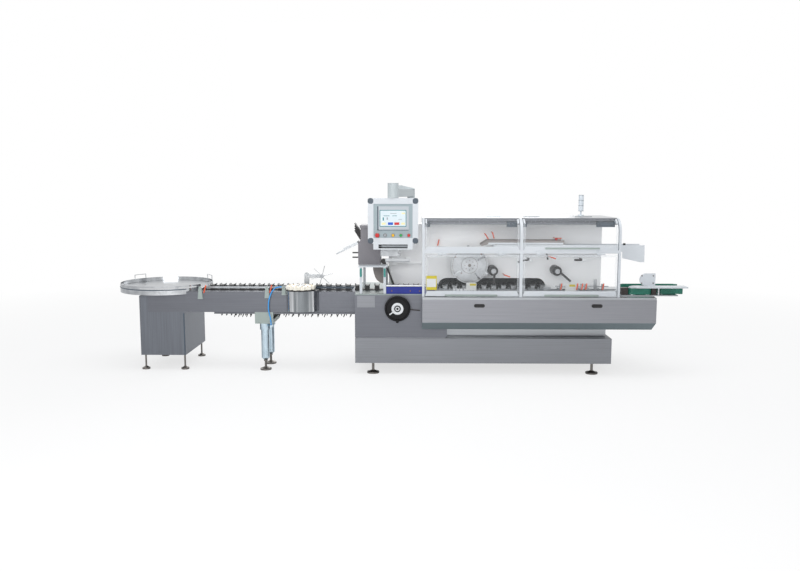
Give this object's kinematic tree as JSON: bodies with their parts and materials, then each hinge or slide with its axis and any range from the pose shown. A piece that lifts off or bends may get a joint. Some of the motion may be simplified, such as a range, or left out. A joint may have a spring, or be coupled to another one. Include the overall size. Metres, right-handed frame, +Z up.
{
  "type": "automatic cartoner with infeed conveyor",
  "caption": "Horizontal packing machine: base cabinet, hood with lifting guard doors, rotary carton picker, operator panel on an arm, long infeed conveyor with turntable, and outfeed belts.",
  "frame": {"origin": "on the floor, in the middle of the whole line", "axes": "+X along the line from the infeed to the discharge, +Y from the operator side to the rear, +Z up"},
  "size_m": [5.9, 1.126, 1.938],
  "materials": {
    "stainless": "brushed stainless steel sheet",
    "polished_steel": "polished stainless steel",
    "white_plate": "white powder coat",
    "white_frame": "light anodised aluminium",
    "clear_pane": "clear acrylic",
    "black_plastic": "moulded black plastic",
    "grey_cast": "grey hammer enamel on cast metal",
    "dark_enamel": "dark brown enamel",
    "brown_grey": "brown grey enamel",
    "blue_paint": "blue enamel",
    "orange_plastic": "orange moulded lever",
    "panel_white": "light anodised extrusion",
    "panel_face_grey": "grey green membrane",
    "button_mix": "coloured push buttons",
    "chain_steel": "steel chain and slats",
    "green_belt": "green rubber belt",
    "cream_plastic": "cream nylon",
    "aluminium": "machined aluminium",
    "light_blue_hose": "polyurethane air hose",
    "lamp_white": "milky lamp lens"
  },
  "bodies": {
    "machine": {"air_hose": "light_blue_hose", "apron": "stainless", "apron_pulls": "black_plastic", "arm_post": "white_plate", "back_plate": "white_plate", "blue_guide": "blue_paint", "bucket_chain": "chain_steel", "carton_clamps": "aluminium", "carton_track": "aluminium", "chain_pushers": "black_plastic", "clutch_lever": "polished_steel", "deck_plate": "stainless", "entry_frame": "white_frame", "feeder_bracket": "aluminium", "guard_mid_rails": "white_frame", "guard_posts": "white_frame", "guard_sill": "stainless", "guide_posts": "aluminium", "hood_roof": "stainless", "infeed_beam": "stainless", "infeed_guides": "aluminium", "infeed_legs": "stainless", "leaflet_chute": "aluminium", "leaflet_folder": "grey_cast", "leaflet_forks": "black_plastic", "levelling_feet": "chain_steel", "light_tower": "lamp_white", "magazine_channel": "aluminium", "magazine_guides": "brown_grey", "main_cabinet": "stainless", "orange_levers": "orange_plastic", "outfeed_belts": "green_belt", "outfeed_block": "dark_enamel", "outfeed_cover": "aluminium", "outfeed_drums": "polished_steel", "outfeed_frame": "stainless", "plinth": "stainless", "rear_housing": "white_plate", "roof_brackets": "dark_enamel", "star_drum": "polished_steel", "turntable_base": "aluminium", "turntable_cabinet": "stainless", "turntable_rim": "polished_steel", "upper_doors": "white_frame", "upper_panes": "clear_pane"},
    "left_door": {"lower_door_left": "white_frame", "lower_pane_left": "clear_pane"},
    "right_door": {"lower_door_right": "white_frame", "lower_pane_right": "clear_pane"},
    "arm": {"swing_arm": "white_plate"},
    "panel": {"panel_frame": "panel_white", "panel_face": "panel_face_grey", "panel_buttons": "button_mix", "panel_tray": "panel_white"},
    "hand_wheel": {"handwheel": "black_plastic", "handwheel_hub": "polished_steel"},
    "turntable": {"turntable_disc": "stainless"},
    "star": {"star_wheel": "cream_plastic"},
    "feeder": {"feeder_star": "polished_steel"},
    "picker": {"carton_picker": "aluminium"}
  },
  "joints": [
    {"name": "left_door_lift", "type": "hinge", "parent": "machine", "child": "left_door", "pos_m": [0.757, -0.5065, 1.235], "axis": [-1, 0, 0], "range_deg": [0, 90]},
    {"name": "right_door_lift", "type": "hinge", "parent": "machine", "child": "right_door", "pos_m": [1.753, -0.5065, 1.235], "axis": [-1, 0, 0], "range_deg": [0, 90]},
    {"name": "arm_swing", "type": "hinge", "parent": "machine", "child": "arm", "pos_m": [0.155, 0.04, 1.8], "axis": [0, 0, 1], "range_deg": [-20, 0]},
    {"name": "panel_swivel", "type": "hinge", "parent": "arm", "child": "panel", "pos_m": [-0.02, -0.5, 1.8], "axis": [0, 0, 1], "range_deg": [0, 40]},
    {"name": "handwheel_spin", "type": "hinge", "parent": "machine", "child": "hand_wheel", "pos_m": [0.023, -0.49, 0.685], "axis": [0, -1, 0], "continuous": true},
    {"name": "turntable_spin", "type": "hinge", "parent": "machine", "child": "turntable", "pos_m": [-2.47, 0.08, 0.85], "axis": [0, 0, 1], "continuous": true},
    {"name": "star_wheel_spin", "type": "hinge", "parent": "machine", "child": "star", "pos_m": [-0.976, -0.297, 0.86], "axis": [0, 0, 1], "continuous": true},
    {"name": "feeder_star_spin", "type": "hinge", "parent": "machine", "child": "feeder", "pos_m": [-0.789, -0.01, 0.959], "axis": [0, -1, 0], "continuous": true},
    {"name": "picker_spin", "type": "hinge", "parent": "machine", "child": "picker", "pos_m": [0.763, -0.16, 1.094], "axis": [0, -1, 0], "continuous": true}
  ]
}
